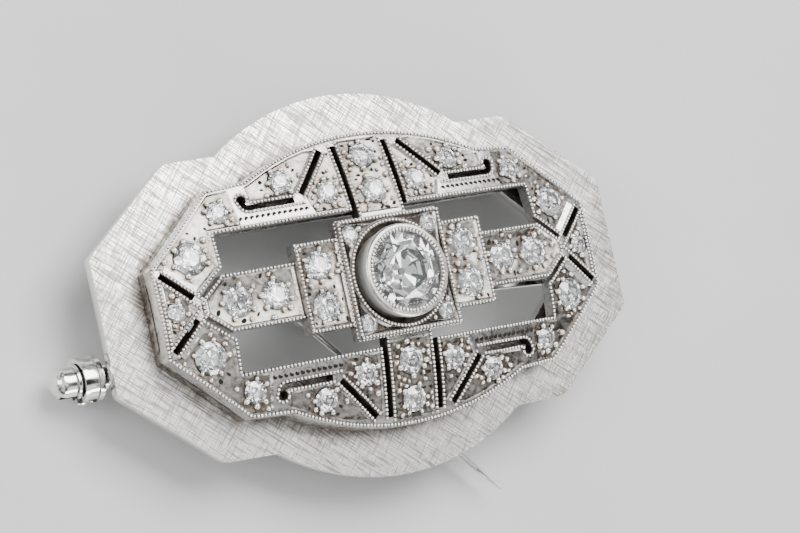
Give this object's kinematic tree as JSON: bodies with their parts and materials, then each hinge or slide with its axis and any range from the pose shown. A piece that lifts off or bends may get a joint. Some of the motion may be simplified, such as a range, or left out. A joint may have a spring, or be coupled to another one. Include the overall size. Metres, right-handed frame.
{
  "type": "plaque brooch with swinging pin and safety catch",
  "caption": "Octagonal plaque brooch: brushed base plate, domed pierced panel, stepped cross, old-cut stones, swinging pin and turning safety catch.",
  "frame": {"origin": "centre of the base plate's back plane, which lies against the cloth", "axes": "+X along the brooch's length, away from the catch; +Y up across the brooch as worn; +Z out of the face"},
  "size_m": [0.0439, 0.0286, 0.0098],
  "materials": {
    "brushed_white_gold": "cross-hatched brushed white metal",
    "bright_cut_platinum": "bright-cut white metal with milled edges",
    "polished_white_gold": "polished",
    "diamond": "faceted old-cut diamond"
  },
  "bodies": {
    "root": {"base_plate": "brushed_white_gold", "gallery_rail": "bright_cut_platinum", "pierced_panel": "bright_cut_platinum", "left_arm": "bright_cut_platinum", "right_arm": "bright_cut_platinum", "left_step_block": "bright_cut_platinum", "right_step_block": "bright_cut_platinum", "centre_block": "bright_cut_platinum", "centre_collet": "polished_white_gold", "back_bar": "polished_white_gold", "pin_base": "polished_white_gold", "pin_rivet": "polished_white_gold", "catch_bracket": "polished_white_gold", "catch_barrel": "polished_white_gold", "catch_end_cap": "polished_white_gold", "upper_left_kite_stone": "diamond", "upper_left_shoulder_stone": "diamond", "upper_left_eye_stone": "diamond", "upper_left_triangle_stone": "diamond", "upper_right_kite_stone": "diamond", "upper_right_shoulder_stone": "diamond", "upper_right_eye_stone": "diamond", "upper_right_triangle_stone": "diamond", "lower_left_kite_stone": "diamond", "lower_left_shoulder_stone": "diamond", "lower_left_eye_stone": "diamond", "lower_left_triangle_stone": "diamond", "lower_right_kite_stone": "diamond", "lower_right_shoulder_stone": "diamond", "lower_right_eye_stone": "diamond", "lower_right_triangle_stone": "diamond", "upper_left_corner_stone": "diamond", "upper_right_corner_stone": "diamond", "lower_left_corner_stone": "diamond", "lower_right_corner_stone": "diamond", "left_end_stone": "diamond", "right_end_stone": "diamond", "left_outer_arm_stone": "diamond", "right_outer_arm_stone": "diamond", "left_inner_arm_stone": "diamond", "right_inner_arm_stone": "diamond", "left_upper_step_stone": "diamond", "right_upper_step_stone": "diamond", "left_lower_step_stone": "diamond", "right_lower_step_stone": "diamond", "top_outer_stone": "diamond", "top_inner_stone": "diamond", "bottom_inner_stone": "diamond", "bottom_outer_stone": "diamond", "centre_diamond": "diamond"},
    "pin": {"pin_stem": "polished_white_gold"},
    "collar": {"catch_collar": "polished_white_gold", "collar_lever": "polished_white_gold"}
  },
  "joints": [
    {"name": "pin_swing", "type": "hinge", "parent": "root", "child": "pin", "pos_m": [-0.00372, -0.0006, -0.0017], "axis": [0, 0, -1], "range_deg": [0, 120.8]},
    {"name": "collar_turn", "type": "hinge", "parent": "root", "child": "collar", "pos_m": [-0.0211, -0.0029, -0.0017], "axis": [1, 0, 0], "range_deg": [0, 120]}
  ]
}
